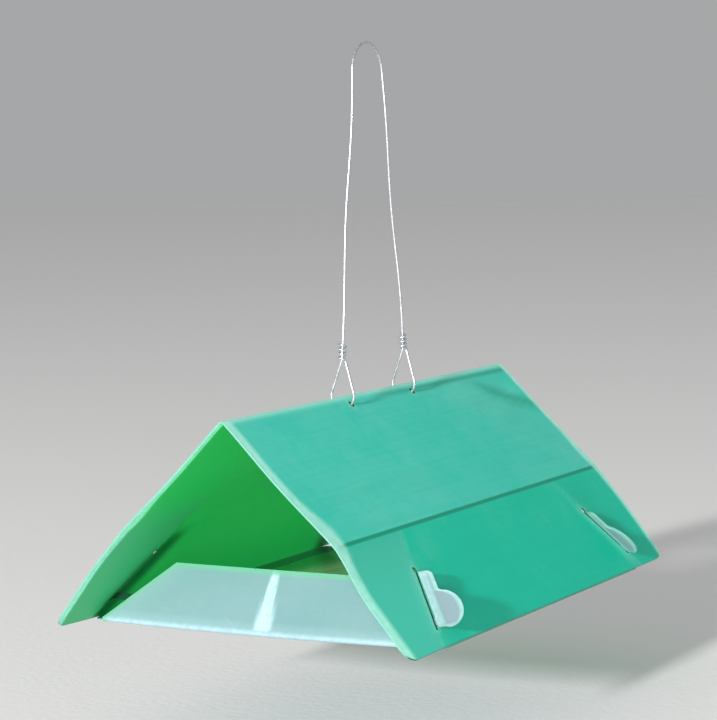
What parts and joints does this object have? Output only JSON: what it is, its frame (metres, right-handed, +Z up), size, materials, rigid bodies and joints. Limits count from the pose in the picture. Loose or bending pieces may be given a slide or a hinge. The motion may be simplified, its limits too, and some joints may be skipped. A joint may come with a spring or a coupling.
{
  "type": "pheromone insect trap",
  "caption": "Hanging delta trap of a creased green roof sheet and a pale sticky floor with folded lips and locking ears, a wire hanger and a rubber lure.",
  "frame": {"origin": "underside of the hanger's arch, where a branch carries it", "axes": "+Z up, +Y along the ridge towards the rear opening, +X to the right wall"},
  "size_m": [0.19, 0.28, 0.2653],
  "materials": {
    "roof_sheet": "translucent green polypropylene sheet, satin",
    "floor_sheet": "milky pale blue polypropylene sheet, satin",
    "glue": "clear tacky glue, wet gloss",
    "lure_rubber": "natural red rubber, dull",
    "zinc_wire": "galvanised wire, dull silver"
  },
  "bodies": {
    "hanger": {"wire_hanger": "zinc_wire"},
    "trap": {"roof_left_upper": "roof_sheet", "roof_left_lower": "roof_sheet", "roof_right_upper": "roof_sheet", "roof_right_lower": "roof_sheet", "left_wall_crease": "roof_sheet", "right_wall_crease": "roof_sheet", "ridge_fold": "roof_sheet", "floor_left": "floor_sheet", "floor_right": "floor_sheet", "floor_crease": "floor_sheet", "front_lip_left": "floor_sheet", "front_lip_right": "floor_sheet", "front_lip_crease": "floor_sheet", "front_lip_fold": "floor_sheet", "rear_lip_left": "floor_sheet", "rear_lip_right": "floor_sheet", "rear_lip_crease": "floor_sheet", "rear_lip_fold": "floor_sheet", "glue_coat_left": "glue", "glue_coat_right": "glue", "rubber_lure": "lure_rubber"},
    "front_left_ear": {"front_left_ear": "floor_sheet"},
    "front_right_ear": {"front_right_ear": "floor_sheet"},
    "rear_left_ear": {"rear_left_ear": "floor_sheet"},
    "rear_right_ear": {"rear_right_ear": "floor_sheet"}
  },
  "joints": [
    {"name": "hanger_swing", "type": "hinge", "parent": "hanger", "child": "trap", "pos_m": [0, 0, -0.165], "axis": [0, 1, 0], "range_deg": [-45, 45]},
    {"name": "front_right_ear_bend", "type": "hinge", "parent": "trap", "child": "front_right_ear", "pos_m": [0.0864, -0.10621, -0.25512], "axis": [-0.555, 0.4531, 0.6977], "range_deg": [-30, 30]},
    {"name": "front_left_ear_bend", "type": "hinge", "parent": "trap", "child": "front_left_ear", "pos_m": [-0.0864, -0.10621, -0.25512], "axis": [-0.555, -0.4531, -0.6977], "range_deg": [-30, 30]},
    {"name": "rear_right_ear_bend", "type": "hinge", "parent": "trap", "child": "rear_right_ear", "pos_m": [0.0864, 0.10621, -0.25512], "axis": [0.555, 0.4531, -0.6977], "range_deg": [-30, 30]},
    {"name": "rear_left_ear_bend", "type": "hinge", "parent": "trap", "child": "rear_left_ear", "pos_m": [-0.0864, 0.10621, -0.25512], "axis": [0.555, -0.4531, 0.6977], "range_deg": [-30, 30]}
  ]
}
